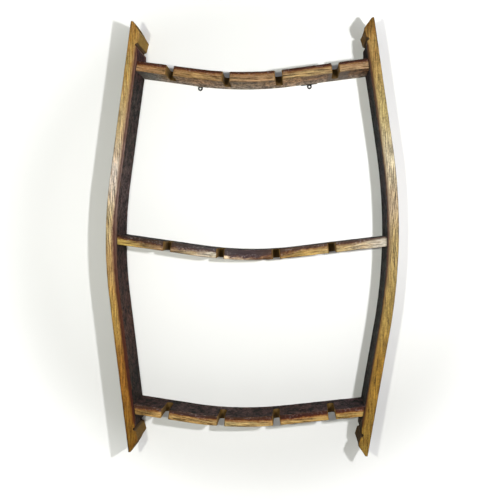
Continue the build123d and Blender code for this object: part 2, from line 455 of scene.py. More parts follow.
    def surface(self, inputs: dict) -> bpy.types.Material:
        """Finish the tree with one shader.

        Args:
            inputs: Values and sockets for the shader's inputs.

        Returns:
            The finished material.
        """
        shader = self.node("ShaderNodeBsdfPrincipled", {}, inputs)
        return self.close(shader)

    def close(self, shader: Socket) -> bpy.types.Material:
        """Join a shader to the material's output.

        Args:
            shader: The shader that is seen.

        Returns:
            The finished material.
        """
        self.add("ShaderNodeOutputMaterial", {}, {"Surface": shader})
        return self.material


def shades(*stops: tuple[float, float, float, float]) -> tuple[Stop, ...]:
    """Write colour stops as a place and a display colour.

    Args:
        stops: Rows of place, red, green and blue.

    Returns:
        The same stops in linear light.
    """
    return tuple((place, bare(red, green, blue)) for place, red, green, blue in stops)


@dataclass(frozen=True)
class Chime:
    """The cooper's cuts at both ends of a side stave: the bevelled tip, the croze and the howel.

    Attributes:
        bevel: The bevel's length from the tip.
        croze: The croze groove's distance from the tip.
    """

    bevel: float
    croze: float

    def cuts(self) -> tuple[Level, ...]:
        """Find how thick the cuts leave the stave.

        Returns:
            Distances from a tip and the thickness left there.
        """
        flank = (CROZE_MOUTH - CROZE_FLOOR) / 2
        mouth = self.croze + CROZE_MOUTH
        return (
            (0.0, TIP_FLAT),
            (self.bevel, CHIME_THICKNESS),
            (self.croze, HOWEL_THICKNESS),
            (self.croze + flank, CROZE_FLOOR_THICKNESS),
            (mouth - flank, CROZE_FLOOR_THICKNESS),
            (mouth, HOWEL_THICKNESS),
            (mouth + HOWEL_LENGTH, STAVE_THICKNESS),
        )


@dataclass(frozen=True)
class Patterns:
    """The place on an oak piece and the patterns that its faces share, as sockets."""

    place: Socket
    along: Socket
    across: Socket
    depth: Socket
    streak: Socket
    line: Socket
    fibre: Socket
    grit: Socket
    cloud: Socket
    blush: Socket
    pore: Socket
    rag: Socket
    blotch: Socket
    cell: Socket
    crust: Socket
    patch: Socket
    weather: Socket
    rings: Socket


@dataclass(frozen=True)
class Oak:
    """Old barrel oak: sawn edges soaked with wine, a charred inner face and a hooped outer face.

    The mesh carries two vectors. grain is the place in the straightened stave: along it from its
    first end, across it from the front edge, and deep from its outer face. facing is the surface's
    direction in the same straightened stave.

    Attributes:
        name: The material's name.
        start: Where the colours start along the piece.
        span: How long they run.
        thickness: The piece's thickness.
        edge: The sawn front edge's colours.
        halo: Colours where the wine fades out.
        wine: Colours of the soaked wood.
        soak: How deep the wine went, as a share of the thickness.
        inner: The charred face's colours.
        outer: The outer face's colours.
        hoops: Middles and widths of the hoops' marks.
        fold: Where the growth rings turn.
        slant: How much the rings rise along the piece.
        seed: Where the patterns start.
        chime: Colours of the bevel and the croze.
        worn: Where the edge carries a painted sheen, a broad reflection of the lights painted into its
            pale colour stops, and where its lines and fibres show more.
        ends: The cooper's cuts, on a whole stave.
        burn: How golden the ends are.
        sooty: How much the grime by the outer face grows along the piece.
        ragged: How ragged the wine's limit is.
        grainy: How strong the edge's fibres are.
        gritty: How strong its fine grit is.
        fine: How fine its lines are.
        depths: How light the deepest wine is.
        nicks: How much pale wood shows in the nicks by the inner face.
        level: How light the whole piece is.
        streaks: How strong the dark lines are.
        fleck: How much golden wood shows on the charred face.
        scorch: How much the arris by the inner face is burnt.
        amber: How golden the edge is in patches.
        reach: How short the inner face's patches are across it.
        speckle: How strong its speckles are.
        dapple: How strong the outer face's are.
        specks: How many pale specks lie along the wine's limit.
        rubbed: How much lighter the inner face is by its front arris.
        wash: How grey the outer face goes toward the wall.
    """

    name: str
    start: float
    span: float
    thickness: float
    edge: tuple[Stop, ...]
    halo: tuple[Stop, ...]
    wine: tuple[Stop, ...]
    soak: tuple[Level, ...]
    inner: tuple[Stop, ...]
    outer: tuple[Stop, ...]
    hoops: tuple[Level, ...]
    fold: float
    slant: float
    seed: float
    chime: tuple[Stop, ...] = ()
    worn: tuple[Level, ...] = ((0.0, 0.0), (1.0, 0.0))
    ends: Optional[Chime] = None
    burn: float = 0.0
    sooty: float = 0.0
    ragged: float = 0.9
    grainy: float = 2.0
    gritty: float = 0.7
    fine: float = 0.8
    depths: float = 0.72
    nicks: float = 0.45
    level: float = 0.70
    streaks: float = 1.0
    fleck: float = 0.5
    scorch: float = 0.2
    amber: float = 0.30
    reach: float = 0.3
    speckle: float = 1.6
    dapple: float = 1.6
    specks: float = 0.0
    rubbed: float = 0.0
    wash: float = 0.0

    def patterns(self, g: Graph) -> Patterns:
        """Lay out the patterns, with scales in waves per metre.

        Args:
            g: The graph that they are built in.

        Returns:
            The patterns.
        """
        along, across, depth = g.attribute("grain")
        seed, fine, reach = self.seed, self.fine, self.reach
        lay = (along - self.fold) * (along - self.fold) + 0.0009
        ring = depth + g.math("SQRT", lay) * self.slant
        pores = g.noise(g.vector(along * 130 + seed, ring * 2600, across * 900), 2, 0.5)
        blotch = g.noise(g.vector(along * 50 + seed, across * 80, depth * 20), 5, 0.66, 0.4)
        return Patterns(
            place=(along - self.start) / self.span,
            along=along,
            across=across,
            depth=depth,
            streak=g.noise(g.vector(along * 10 + seed, ring * 150, across * 40), 5, 0.66),
            line=g.noise(g.vector(along * 22 + seed * 3, ring * 420 * fine, across * 40), 3, 0.6, 0.1),
            fibre=g.noise(g.vector(along * 28 + seed, ring * 400 * fine, across * 300), 2, 0.55),
            grit=g.noise(g.vector(along * 200 + seed, depth * 300, across * 300), 3, 0.7),
            cloud=g.noise(g.vector(along * 16 + seed, depth * 70, across * 25), 4, 0.6),
            blush=g.noise(g.vector(along * 34 + seed * 5, ring * 140, across * 30), 4, 0.6),
            pore=pores.rise(0.60, 0.68),
            rag=g.noise(g.vector(along * 80 + seed * 2, ring * 220, across * 40), 5, 0.7),
            blotch=blotch,
            cell=g.cracks(g.vector(along * 85 + seed, across * 150 + blotch * 1.5, depth * 50)),
            crust=g.noise(g.vector(along * 190, across * 300 * reach, depth * 300 + seed), 4, 0.7),
            patch=g.noise(
                g.vector(along * 80 + seed * 7, across * 110 * reach, depth * 20), 4, 0.75, 0.3
            ),
            weather=g.noise(g.vector(along * 11 + seed, across * 210, depth * 100), 6, 0.66),
            rings=g.noise(g.vector(along * 25, across * 160 + seed, depth * 420), 4, 0.6),
        )

    def sawn(self, g: Graph, p: Patterns) -> Socket:
        """Colour the sawn edge as it is without wine.

        Args:
            g: The graph.
            p: The patterns.

        Returns:
            The edge's colour, with its lines, golden patches and grime.
        """
        edge = g.ramp(p.place + (p.cloud - 0.5) * 0.05, self.edge)
        # Painted sheen: worn marks the zone of a painted broad reflection of the lights, where the lines
        # and fibres show with more contrast.
        worn = g.curve(p.place, self.worn)
        dark = 1 - p.line.rise(0.36, 0.47)
        broad = 1 - p.streak.rise(0.30, 0.48)
        tone = 1.08 - dark * 0.5 * self.streaks - broad * 0.16 * self.streaks - worn * dark * 0.35
        rough = (p.fibre - 0.5) * (worn * 1.2 + 1.9) + (p.grit - 0.5) * self.gritty
        tone = tone + rough * self.grainy - p.pore * 0.22
        edge = g.blend(edge, g.shade(g.ramp(p.place, self.halo), 0.9), dark * 0.45)
        burnt = abs(p.place - 0.5).rise(0.3, 0.5) * self.burn
        golden = p.blush.rise(0.46, 0.66) * (burnt + self.amber) + dark * 0.3
        edge = g.blend(edge, g.tint(edge, AMBER_TINT), golden)
        edge = g.shade(edge, (tone + (p.cloud - 0.5) * (0.6 * self.grainy + 0.6)).most(0.25))
        grime = 1 - (p.depth + (p.line - 0.5) * 0.003).rise(0.0003, p.place * self.sooty + 0.0021)
        return g.shade(edge, 1 - grime * (p.place * self.sooty * 50 + 0.34))

    def soaked(self, g: Graph, p: Patterns, edge: Socket) -> Socket:
        """Let wine soak into the edge from the inner face.

        Args:
            g: The graph.
            p: The patterns.
            edge: The edge's colour without wine.

        Returns:
            Its colour with wine, a red line where the wine stops, and marks along the arris.
        """
        into = 1 - p.depth / self.thickness
        soak = g.curve(p.place, self.soak)
        front = soak * (p.rag * self.ragged + (1 - self.ragged / 2)) - into
        halo = g.shade(g.ramp(p.place, self.halo), 0.15 + p.streak * 0.9 + p.line * 0.8)
        wine = g.shade(g.ramp(p.place, self.wine), p.blush * 1.4 + p.line * 1.2 - 0.3)
        lees = g.shade(g.blend(wine, Tone.MAROON.colour, 0.65), 0.8)
        wine = g.blend(lees, g.shade(wine, self.depths), front.rise(0.04, 0.24))
        edge = g.blend(edge, halo, front.rise(-0.26, 0.02) * 0.92)
        edge = g.blend(edge, wine, front.rise(-0.08, 0.08) * 0.95)
        limit = front.rise(-0.30, -0.05) * (1 - front.rise(0.25, 0.45))
        pale = p.grit.rise(0.50, 0.62) * p.blush.rise(0.44, 0.58) * limit
        edge = g.blend(edge, Tone.BLOOM.colour, pale * self.specks)
        scorch = (0.055 + (p.rag - 0.5) * 0.16 - into).rise(-0.02, 0.02) * soak.rise(0.01, 0.05)
        edge = g.blend(edge, Tone.CHARCOAL.colour, scorch * self.scorch)
        nick = (0.07 - into).rise(0.0, 0.03) * p.grit.rise(0.48, 0.60)
        return g.blend(edge, Tone.NICK.colour, nick * self.nicks)

    def charred(self, g: Graph, p: Patterns) -> Socket:
        """Colour the inner face: char and wine crust in patches, with cracks and golden flecks.

        Args:
            g: The graph.
            p: The patterns.

        Returns:
            The inner face's colour.
        """
        inner = g.ramp(p.place, self.inner)
        inner = g.blend(inner, Tone.WINE_CRUST.colour, p.blotch.rise(0.50, 0.60) * 0.75)
        inner = g.blend(inner, Tone.WINE_BLACK.colour, (1 - p.patch).rise(0.52, 0.62) * 0.75)
        char = (p.patch - 0.5) * 4.4 + (p.crust - 0.5) * 2.6 + (p.blotch - 0.5) * 1.8
        inner = g.shade(inner, (char * self.speckle + 0.97).most(0.3))
        inner = g.shade(inner, 0.6 + p.cell.rise(0.0, 0.12) * 0.45)
        inner = g.shade(inner, 1 + (1 - p.across.rise(0.003, 0.028)) * self.rubbed)
        flake = g.noise(g.vector(p.along * 60 + self.seed * 3, p.across * 160, 0.0), 3, 0.6)
        near = (0.03 - p.across).rise(0.0, 0.02)
        flake = (flake + (0.016 - p.across) * 6).rise(0.60, 0.70) * near
        return g.blend(inner, Tone.GOLD_FLECK.colour, flake * self.fleck)

    def coopered(self, g: Graph, p: Patterns, inner: Socket) -> Socket:
        """Colour the cooper's cuts at the ends of a whole stave.

        Args:
            g: The graph.
            p: The patterns.
            inner: The inner face's colour.

        Returns:
            The same with the bevel, the lip by the croze, painted shade along the lips of the bevel and
            the croze, and a painted highlight on the croze's rim.
        """
        bevel, croze = self.ends.bevel, self.ends.croze
        tip = (p.along - self.start).least(self.start + self.span - p.along)
        torn = tip + (p.rag - 0.5) * 0.004
        lip = g.shade(g.ramp(p.place, self.chime), 0.4 + p.streak * 0.5 + p.patch * 0.7)
        sawn = g.shade(lip, 0.62 + p.fibre * 0.4 + p.crust * 0.5)
        lip = g.blend(sawn, lip, torn.rise(bevel - 0.004, bevel + 0.001))
        inner = g.blend(lip, inner, torn.rise(croze, croze + 0.004))
        # Painted shade: dark lines along the lips of the bevel and the croze, where the groove's walls
        # lie in shade.
        arris = abs(tip - bevel).rise(0.0, 0.0018) * abs(tip - croze).rise(0.0, 0.0016)
        inner = g.shade(inner, 0.5 + arris * 0.5)
        # Painted highlight: a light line on the croze's near lip at the bottom end and on its far lip at
        # the top, where the lip catches the light.
        rim = abs(tip - croze - (1 - p.place.rise(0.4, 0.6)) * CROZE_MOUTH - 0.0008)
        light = (1 - rim.rise(0.0004, 0.0018)) * p.crust.rise(0.3, 0.5) * 0.7
        return g.blend(inner, Tone.RIM.colour, light)

    def weathered(self, g: Graph, p: Patterns) -> Socket:
        """Colour the outer face, with the rusty marks of the barrel's hoops.

        Args:
            g: The graph.
            p: The patterns.

        Returns:
            The outer face's colour.
        """
        outer = g.ramp(p.place + (p.cloud - 0.5) * 0.02, self.outer)
        outer = g.blend(g.shade(outer, 0.72), outer, p.across.rise(0.0, 0.05))
        outer = g.blend(outer, Tone.DRIFTWOOD.colour, p.across.rise(0.035, 0.085) * self.wash)
        aged = (p.patch - 0.5) * 3.4 + (p.weather - 0.5) * 3.0 + (p.crust - 0.5) * 2.2
        outer = g.shade(outer, (aged * self.dapple + 0.95).most(0.3))
        pitted = g.shade(Tone.HOOP_GREY.colour, 0.55 + p.weather * 0.5 + p.cloud * 0.4)
        for middle, width in self.hoops:
            low, high = middle - width / 2, middle + width / 2
            band = p.place.within(low, high, 0.004)
            rim = p.place.within(low - 0.004, high + 0.004, 0.004) - band
            outer = g.blend(outer, pitted, band * 0.62)
            outer = g.blend(outer, Tone.RUST.colour, rim * (0.3 + p.cloud * 0.6))
        return outer

    def end_grain(self, g: Graph, p: Patterns) -> Socket:
        """Colour what is cut across the grain: a stave's tips, or a rail's slots and ends.

        Args:
            g: The graph.
            p: The patterns.

        Returns:
            The end grain's colour, with painted shade deep in the slots.
        """
        if self.ends:
            return g.shade(Tone.END_GRAIN.colour, 0.6 + p.rings * 0.5 + p.crust * 0.3)
        cut = g.shade(Tone.SLOT_WALL.colour, 0.54 + p.rings * 0.60 + p.crust * 0.34)
        # Painted shade: the slot walls darken toward the closed end, deep in the slot.
        return g.shade(cut, 1.12 - p.across * 9)

    def material(self) -> bpy.types.Material:
        """Build the node material.

        Returns:
            The finished material.
        """
        g = Graph(self.name)
        p = self.patterns(g)
        to_end, to_wall, to_core = g.attribute("facing")
        in_face = to_core.rise(0.45, 0.8)
        out_face = (0 - to_core).rise(0.45, 0.8)
        end_face = abs(to_end).rise(0.55, 0.85)
        slot_end = p.across.rise(0.004, 0.012) * (0 - to_wall).rise(0.2, 0.6)

        inner = self.charred(g, p)
        if self.ends:
            inner = self.coopered(g, p, inner)
        colour = g.blend(self.soaked(g, p, self.sawn(g, p)), inner, in_face)
        colour = g.blend(colour, self.weathered(g, p), out_face)
        colour = g.blend(colour, self.end_grain(g, p), end_face.most(slot_end))

        height = p.streak * 0.35 + p.fibre * 0.35 - p.pore * 0.5
        crusted = p.cell.rise(0.0, 0.16) * 0.8 + p.crust * 0.7 + p.blotch * 0.8
        grained = p.weather * 1.1 + p.fibre * 0.5 - p.pore * 0.4
        height = height * (1 - in_face) + crusted * in_face
        height = height * (1 - out_face) + grained * out_face
        dull = 0.52 + (p.cloud - 0.5) * 0.2 + in_face * 0.36 + out_face * 0.2 + end_face * 0.2
        inputs = {
            "Base Color": g.shade(colour, self.level),
            "Roughness": dull,
            "Normal": g.bump(height, 0.0009, 0.8),
            "Specular IOR Level": OAK_SPECULAR,
        }
        return g.surface(inputs)


@dataclass(frozen=True)
class Steel:
    """A small metal part: plated or painted steel, scuffed a little.

    Attributes:
        name: The material's name.
        body: Its colour as linear light.
        worn: Its colour where it is scuffed.
        metal: How bare its metal is.
        roughness: How dull it is.
        wear: How much of it is scuffed.
        scale: Scuffs per metre.
        gloss: How strong its coat shines.
    """

    name: str
    body: Colour
    worn: Colour
    metal: float
    roughness: float
    wear: float
    scale: float = 900.0
    gloss: float = 0.5

    def material(self) -> bpy.types.Material:
        """Build the node material.

        Returns:
            The finished material.
        """
        g = Graph(self.name)
        x, y, z = g.spot()
        grime = g.noise(g.vector(x * 260, y * 260, z * 260), 5, 0.62)
        scuff = g.noise(g.vector(x * self.scale, y * self.scale, z * self.scale * 0.35), 4, 0.6, 0.5)
        worn = scuff.rise(0.62 - self.wear, 0.74 - self.wear)
        colour = g.blend(g.shade(self.body, 0.75 + grime * 0.5), self.worn, worn * 0.7)
        inputs = {
            "Base Color": colour,
            "Metallic": (worn * 0.8).most(self.metal),
            "Roughness": self.roughness + (grime - 0.5) * 0.25,
            "Specular IOR Level": self.gloss,
            "Normal": g.bump(scuff * 0.6 + grime * 0.4, 0.00012, 0.7),
        }
        return g.surface(inputs)


@dataclass(frozen=True)
class Stage:
    """A pale wall and floor that are seen from the front only, so the rack shows from behind too.

    Attributes:
        name: The material's name.
        tone: How light the paint is.
        mottled: How uneven it is.
        dusk: Painted shade, how much darker the paint is low down where the key light falls off, and as
            much again on the right.
        dusk_from: The height where it starts to darken.
        dusk_over: How far below that it is darkest.
        lift: How much it glows by the rack.
        glow: How much more it glows away from it.
        clear_of: Where that starts and ends, from the rack's middle.
    """

    name: str
    tone: float = 0.80
    mottled: float = 0.01
    dusk: float = 0.12
    dusk_from: float = -0.28
    dusk_over: float = 0.50
    lift: float = 0.05
    glow: float = 0.6
    clear_of: tuple[float, float] = (0.48, 0.80)

    def material(self) -> bpy.types.Material:
        """Build the node material.

        Returns:
            The finished material.
        """
        g = Graph(self.name)
        x, y, z = g.spot()
        mottle = g.noise(g.vector(x * 3, y * 3, z * 3), 4, 0.5)
        # Painted shade: the paint darkens low down and to the right, as the key light falls off there.
        low = (self.dusk_from - z).rise(0.0, self.dusk_over)
        low = low * (x.rise(-0.4, 0.4) * self.dusk + self.dusk)
        level = (self.tone + (mottle - 0.5) * self.mottled) * (1 - low)
        paint = g.shade((1.0, 1.0, 0.985), level)
        away = g.math("SQRT", x * x + (z - MIDDLE) * (z - MIDDLE)).rise(*self.clear_of)
        light = {"Color": WHITE, "Strength": away * self.glow + self.lift}
        matt = g.node("ShaderNodeBsdfDiffuse", {}, {"Color": paint})
        glow = g.node("ShaderNodeEmission", {}, light)
        lifted = g.node("ShaderNodeAddShader", {}, {0: matt, 1: glow})
        camera = g.node("ShaderNodeLightPath", {}, {}, "Is Camera Ray")
        shadow = g.node("ShaderNodeLightPath", {}, {}, "Is Shadow Ray")
        back = g.node("ShaderNodeNewGeometry", {}, {}, "Backfacing")
        seen = g.node("ShaderNodeMixShader", {}, {0: camera, 1: matt, 2: lifted})
        clear = g.node("ShaderNodeBsdfTransparent", {}, {"Color": WHITE})
        return g.close(g.node("ShaderNodeMixShader", {}, {0: back.most(shadow), 1: seen, 2: clear}))


@dataclass(frozen=True)
class Bow:
    """The line that a stave was bent to: an arc in the middle and a straight limb at each end.

    Attributes:
        lean: How far each limb leans, in degrees.
        radius: The arc's radius.
    """

    lean: float
    radius: float

    @property
    def angle(self) -> float:
        """The limbs' lean in radians."""
        return radians(self.lean)

    @property
    def reach(self) -> float:
        """How far along the chord the arc goes on each side of the middle."""
        return self.radius * sin(self.angle)

    def fall(self, chord: float) -> float:
        """Find how far the line has left the middle's level.

        Args:
            chord: The place along the chord.

        Returns:
            The distance.
        """
        bent = min(abs(chord), self.reach)
        arc = self.radius - sqrt(self.radius**2 - bent**2)
        return arc + (abs(chord) - bent) * tan(self.angle)

    def length(self, chord: float) -> float:
        """Measure the line's own length from the middle.

        Args:
            chord: The place along the chord that it is measured to.

        Returns:
            The length, with the place's sign.
        """
        bent = min(abs(chord), self.reach)
        whole = self.radius * asin(bent / self.radius) + (abs(chord) - bent) / cos(self.angle)
        return whole if chord >= 0 else -whole

    def unbend(self, chord: float, rise: float) -> tuple[float, float, float]:
        """Find a point's place along the line and its height above it, on the hollow side.

        Args:
            chord: The point's place along the chord.
            rise: How far the point is from the middle's level, on the hollow side.

        Returns:
            Its length along the line, its height above the line, and the line's slope there.
        """
        turn = atan2(chord, self.radius - rise)
        if abs(turn) <= self.angle:
            return self.radius * turn, self.radius - hypot(chord, self.radius - rise), turn
        side = 1 if chord > 0 else -1
        past = abs(chord) - self.reach
        lift = rise - self.fall(self.reach)
        along = past * cos(self.angle) + lift * sin(self.angle)
        above = lift * cos(self.angle) - past * sin(self.angle)
        return side * (self.radius * self.angle + along), above, side * self.angle

    def path(self, half: float, place: Callable[[float, float], Vector]) -> bpy.types.Object:
        """Lay the line as a curve object that a straight piece can be bent along.

        Args:
            half: How far along the chord it goes on each side.
            place: Where a point of the chord and its rise lie in the curve's own plane.

        Returns:
            The curve object.
        """
        data = bpy.data.curves.new("bend_line", "CURVE")
        data.dimensions = "2D"
        data.resolution_u = CURVE_ROWS
        spline = data.splines.new("BEZIER")
        spline.bezier_points.add(3)
        chords = (-half, -self.reach, self.reach, half)
        slopes = (-self.angle, -self.angle, self.angle, self.angle)
        limb = (half - self.reach) / cos(self.angle) / 3
        # A cubic follows an arc best with handles of 4/3 of the quarter angle's tangent.
        arm = 4 / 3 * tan(self.angle / 2) * self.radius
        arms = ((limb, limb), (limb, arm), (arm, limb), (limb, limb))
        for point, chord, slope, (before, after) in zip(spline.bezier_points, chords, slopes, arms):
            rise = self.fall(chord)
            step = Vector((cos(slope), sin(slope)))
            point.co = place(chord, rise)
            point.handle_left_type = point.handle_right_type = "FREE"
            point.handle_left = place(chord - step.x * before, rise - step.y * before)
            point.handle_right = place(chord + step.x * after, rise + step.y * after)
        line = bpy.data.objects.new("bend_line", data)
        bpy.context.collection.objects.link(line)
        return line


def only(*chosen: bpy.types.Object) -> None:
    """Select these objects alone, and make the last one active.

    Args:
        chosen: The objects.
    """
    bpy.ops.object.select_all(action="DESELECT")
    for thing in chosen:
        thing.select_set(True)
    bpy.context.view_layer.objects.active = chosen[-1]


def block(name: str, low: Sequence[float], high: Sequence[float]) -> bpy.types.Object:
    """Make a block between two corners.

    Args:
        name: The object's name.
        low: Its lowest corner.
        high: Its highest corner.

    Returns:
        The block, with its place in its mesh.
    """
    bpy.ops.object.select_all(action="DESELECT")
    middle = [(a + b) / 2 for a, b in zip(low, high)]
    size = [b - a for a, b in zip(low, high)]
    bpy.ops.mesh.primitive_cube_add(size=1, location=middle, scale=size)
    made = bpy.context.object
    made.name = made.data.name = name
    settle(made)
    return made


def slice_at(piece: bpy.types.Object, axis: int, places: Iterable[float]) -> None:
    """Cut edge loops square to an axis.

    Args:
        piece: The object.
        axis: 0, 1 or 2.
        places: Where along the axis.
    """
    only(piece)
    bpy.ops.object.mode_set(mode="EDIT")
    normal = [0.0, 0.0, 0.0]
    normal[axis] = 1.0
    for place in places:
        spot = [0.0, 0.0, 0.0]
        spot[axis] = place
        bpy.ops.mesh.select_all(action="SELECT")
        bpy.ops.mesh.bisect(plane_co=spot, plane_no=normal)
    bpy.ops.object.mode_set(mode="OBJECT")


def shift_where(piece: bpy.types.Object, test: Callable[[Vector], bool], by: Sequence[float]) -> None:
    """Move the points that pass a test.

    Args:
        piece: The object.
        test: Which points move.
        by: How far they move.
    """
    only(piece)
    mesh = piece.data
    for part in (*mesh.polygons, *mesh.edges):
        part.select = False
    for vertex in mesh.vertices:
        vertex.select = test(vertex.co)
    bpy.ops.object.mode_set(mode="EDIT")
    bpy.ops.mesh.select_mode(type="VERT")
    bpy.ops.transform.translate(value=by)
    bpy.ops.object.mode_set(mode="OBJECT")


def round_edges(
    piece: bpy.types.Object, test: Callable[[Vector, Vector], bool], width: float, rows: int
) -> None:
    """Round the edges whose two ends pass a test.

    Args:
        piece: The object.
        test: Which edges are rounded.
        width: How far the round reaches.
        rows: How many faces it has.
    """
    only(piece)
    mesh = piece.data
    for part in (*mesh.polygons, *mesh.vertices, *mesh.edges):
        part.select = False
    for edge in mesh.edges:
        first, second = (mesh.vertices[place].co for place in edge.vertices)
        edge.select = test(first, second)
    bpy.ops.object.mode_set(mode="EDIT")
    bpy.ops.mesh.select_mode(type="EDGE")
    bpy.ops.mesh.bevel(offset=width, segments=rows, affect="EDGES")
    bpy.ops.object.mode_set(mode="OBJECT")


def apply(piece: bpy.types.Object, kind: str, **settings: object) -> None:
    """Add a modifier and apply it.

    Args:
        piece: The object.
        kind: The modifier's type.
        settings: Its properties.
    """
    only(piece)
    made = piece.modifiers.new(kind.lower(), kind)
    for key, value in settings.items():
        setattr(made, key, value)
    bpy.ops.object.modifier_apply(modifier=made.name)


def settle(piece: bpy.types.Object) -> None:
    """Put an object's place, turn and size into its mesh."""
    only(piece)
    bpy.ops.object.transform_apply(location=True, rotation=True, scale=True)


def cut_out(piece: bpy.types.Object, cutters: Sequence[bpy.types.Object]) -> None:
    """Cut the shapes of some tools out of a piece, and remove the tools.

    Args:
        piece: The object.
        cutters: The tools.
    """
    only(*cutters)
    bpy.ops.object.join()
    cutter = bpy.context.object
    settle(cutter)
    apply(piece, "BOOLEAN", object=cutter, operation="DIFFERENCE", solver="EXACT")
    discard(cutter)


def discard(*things: bpy.types.Object) -> None:
    """Remove helpers that have done their work."""
    for thing in things:
        bpy.data.objects.remove(thing, do_unlink=True)


def ladder(low: float, high: float, pitch: float) -> list[float]:
    """Space places evenly between two ends.

    Args:
        low: The first end.
        high: The last end.
        pitch: About how far apart the places are.

    Returns:
        The places, without the ends.
    """
    count = max(1, round((high - low) / pitch))
    return [low + (high - low) * place / count for place in range(1, count)]


@dataclass(frozen=True)
class Piece(ABC):
    """One bent oak piece, modelled straight and then bent to its line.

    Attributes:
        node: The CAD node that it replaces.
        bow: The line that it is bent to.
        finish: Its oak.
        chord: Half its blank's length, as it is once bent.
        front: How far its front edge is from the wall.
        lift: How high the blank's line is above its outer face.
        runs: 1 where its length runs along the chord, and -1 where it runs back.
    """

    node: str
    bow: Bow
    finish: Oak
    chord: ClassVar[float]
    front: ClassVar[float]
    lift: ClassVar[float]
    runs: ClassVar[int]

    @abstractmethod
    def blank(self) -> bpy.types.Object:
        """Model the straight piece."""

    @abstractmethod
    def fit(self, piece: bpy.types.Object) -> None:
        """Cut the bent piece to its neighbours."""

    @abstractmethod
    def place(self, chord: float, rise: float) -> Vector:
        """Find where a point of the bend line lies while the piece still lies on its back."""

    @abstractmethod
    def section(self, spot: Vector) -> tuple[float, float]:
        """Find a point's place along the chord and its rise on the hollow side."""

    @abstractmethod
    def bearing(self, way: Vector) -> tuple[float, float]:
        """Split a direction into its parts along the chord and to the hollow side."""

    @property
    def span(self) -> float:
        """The blank's length."""
        return 2 * self.bow.length(self.chord)

    def wear(self, piece: bpy.types.Object) -> None:
        """Give the straight piece its hollow and its worn, uneven faces.

        Args:
            piece: The straight piece.
        """
        seed = Vector((self.finish.seed, 0.0, 0.0))
        half = STAVE_WIDTH / 2
        for vertex in piece.data.vertices:
            spot = vertex.co
            bulge = max(0.0, 1 - ((spot.z - half) / half) ** 2)
            slow = noise.noise(spot * SLOW_WAVES + seed)
            quick = noise.noise(spot * QUICK_WAVES + seed)
            inside = 1.0 if spot.y + self.lift > self.finish.thickness / 2 else -1.0
            uneven = (slow + WARP_BIAS) * WARP * FACE_SHARE + quick * PITTING * FACE_SHARE
            spot.y -= inside * (bulge * HOLLOW + uneven)
            back = 1.0 if spot.z > half else -1.0
            spot.z += (slow * WARP + quick * PITTING) * back * EDGE_SHARE

    def chart(self, spot: Vector) -> tuple[Vector, float]:
        """Find a point's place in the straightened stave.

        Args:
            spot: The point.

        Returns:
            Its place along, across and deep, and the line's slope there.
        """
        along, above, turn = self.bow.unbend(*self.section(spot))
        along = self.span / 2 + self.runs * along
        return Vector((along, spot.y + self.front, above + self.lift)), turn

    def straighten(self, way: Vector, turn: float) -> Vector:
        """Turn a direction into the straightened stave.

        Args:
            way: The direction.
            turn: The line's slope there.

        Returns:
            Its parts along, across and deep.
        """
        ahead, inward = self.bearing(way)
        along = ahead * cos(turn) + inward * sin(turn)
        return Vector((self.runs * along, way.y, inward * cos(turn) - ahead * sin(turn)))

    def carry_grain(self, piece: bpy.types.Object) -> None:
        """Store each point's place and each face's direction in the straightened stave.

        Args:
            piece: The finished mesh object.
        """
        mesh = piece.data
        grain = mesh.attributes.new("grain", "FLOAT_VECTOR", "POINT")
        for vertex, entry in zip(mesh.vertices, grain.data):
            entry.vector = self.chart(vertex.co)[0]
        facing = mesh.attributes.new("facing", "FLOAT_VECTOR", "CORNER")
        for face in mesh.polygons:
            way = self.straighten(face.normal, self.chart(face.center)[1])
            for corner in face.loop_indices:
                facing.data[corner].vector = way

    def build(self) -> bpy.types.Object:
        """Model, bend, fit and dress the piece.

        Returns:
            The finished object.
        """
        piece = self.blank()
        self.wear(piece)
        line = self.bow.path(self.chord, self.place)
        apply(piece, "CURVE", object=line, deform_axis="POS_X")
        discard(line)
        piece.rotation_euler = (pi / 2, 0, 0)
        settle(piece)
        self.fit(piece)
        self.carry_grain(piece)
        only(piece)
        bpy.ops.object.shade_smooth_by_angle(angle=radians(SMOOTH_ANGLE))
        piece.data.materials.clear()
        piece.data.materials.append(self.finish.material())
        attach(piece, "root")
        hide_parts(self.node)
        LOG.info("%s: %d faces", piece.name, len(piece.data.polygons))
        return piece


